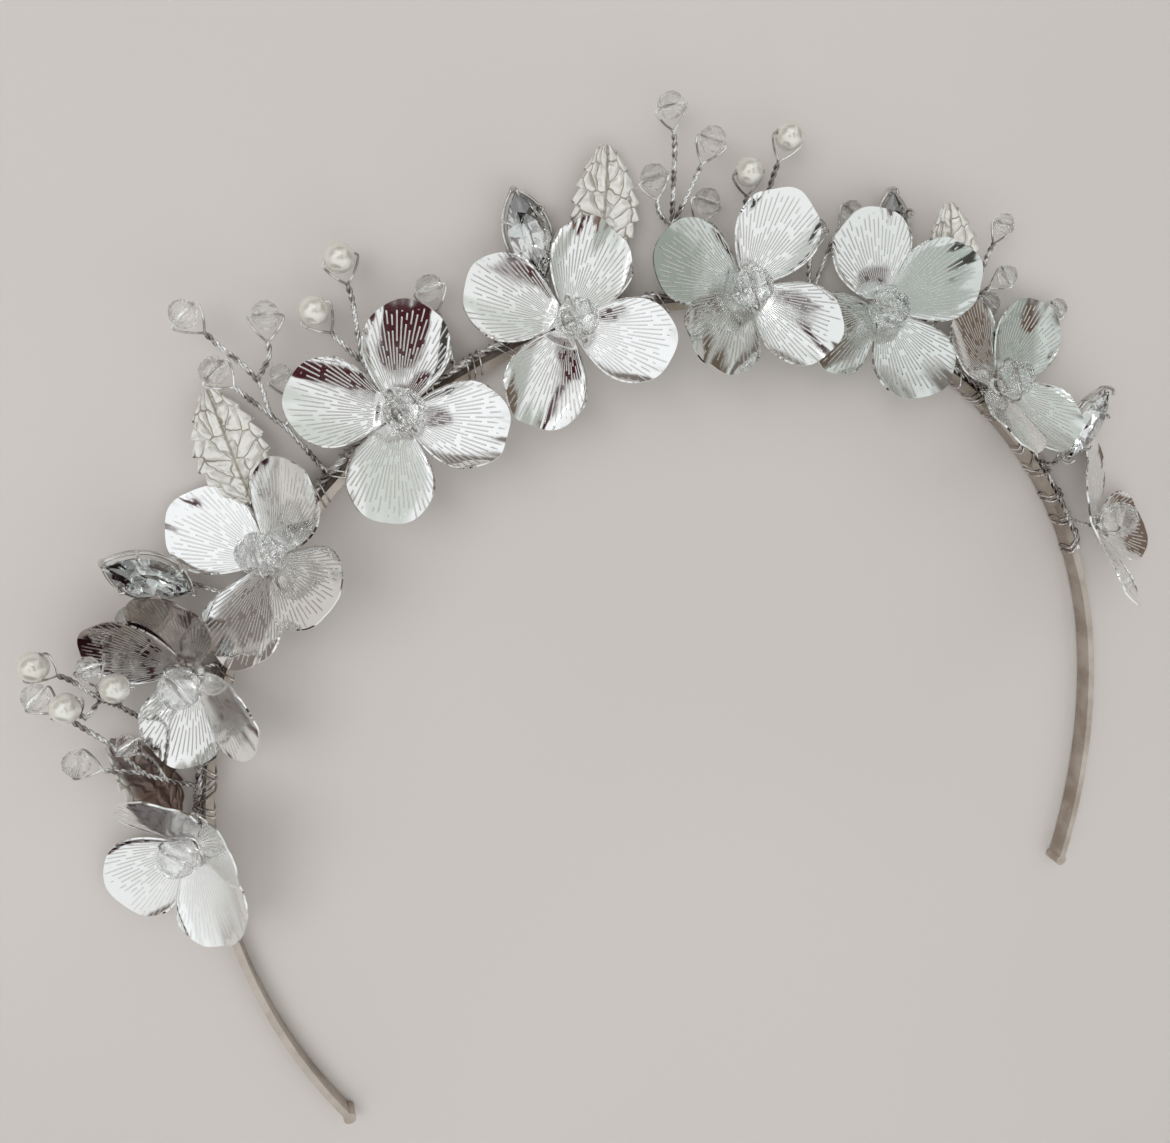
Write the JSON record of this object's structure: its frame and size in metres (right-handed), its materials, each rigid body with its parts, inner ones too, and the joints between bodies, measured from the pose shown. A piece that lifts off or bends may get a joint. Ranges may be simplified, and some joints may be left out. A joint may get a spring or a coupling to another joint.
{
  "type": "bridal headpiece",
  "caption": "Narrow silver arch headpiece wired along its front with stamped petal flowers, leaves, marquise stones and sprays of pearls and crystals.",
  "frame": {"origin": "centre of the band's arch, on the plane of the band's back edge", "axes": "the arch is in XY with its top along +Y; +Z is the side that faces forward when worn, and it lies on z = 0 at rest"},
  "size_m": [0.175, 0.1442, 0.0203],
  "materials": {
    "band": "polished silver plate with a warm, slightly dulled tone",
    "wire": "twisted silver plated craft wire",
    "flower_sheet": "mirror bright stamped sheet with engraved lines",
    "crystal": "clear cut glass",
    "marquise": "clear foiled cut glass",
    "setting": "bright silver plate",
    "leaf_sheet": "satin cream silver stamped sheet",
    "pearl": "nacre coated imitation pearl"
  },
  "bodies": {
    "root": {"band": "band", "binding_wire": "wire", "flower_1": "flower_sheet", "flower_2": "flower_sheet", "flower_3": "flower_sheet", "flower_4": "flower_sheet", "flower_5": "flower_sheet", "flower_6": "flower_sheet", "flower_7": "flower_sheet", "flower_8": "flower_sheet", "flower_9": "flower_sheet", "flower_bead_1": "crystal", "flower_bead_2": "crystal", "flower_bead_3": "crystal", "flower_bead_4": "crystal", "flower_bead_5": "crystal", "flower_bead_6": "crystal", "flower_bead_7": "crystal", "flower_bead_8": "crystal", "flower_bead_9": "crystal", "marquise_stone_1": "marquise", "marquise_stone_2": "marquise", "marquise_stone_3": "marquise", "marquise_stone_4": "marquise", "claw_setting_1": "setting", "claw_setting_2": "setting", "claw_setting_3": "setting", "claw_setting_4": "setting", "leaf_1": "leaf_sheet", "leaf_2": "leaf_sheet", "leaf_3": "leaf_sheet", "leaf_4": "leaf_sheet", "spray_bead_1": "pearl", "spray_bead_2": "crystal", "spray_bead_3": "pearl", "spray_bead_4": "pearl", "spray_bead_5": "crystal", "spray_bead_6": "crystal", "spray_bead_7": "crystal", "spray_bead_8": "crystal", "spray_bead_9": "crystal", "spray_bead_10": "crystal", "spray_bead_11": "crystal", "spray_bead_12": "crystal", "spray_bead_13": "pearl", "spray_bead_14": "pearl", "spray_bead_15": "crystal", "spray_bead_16": "crystal", "spray_bead_17": "crystal", "spray_bead_18": "crystal", "spray_bead_19": "crystal", "spray_bead_20": "pearl", "spray_bead_21": "pearl", "spray_bead_22": "crystal", "spray_bead_23": "crystal", "spray_bead_24": "crystal", "spray_bead_25": "crystal", "spray_bead_26": "crystal", "spray_bead_27": "crystal"}
  },
  "joints": []
}
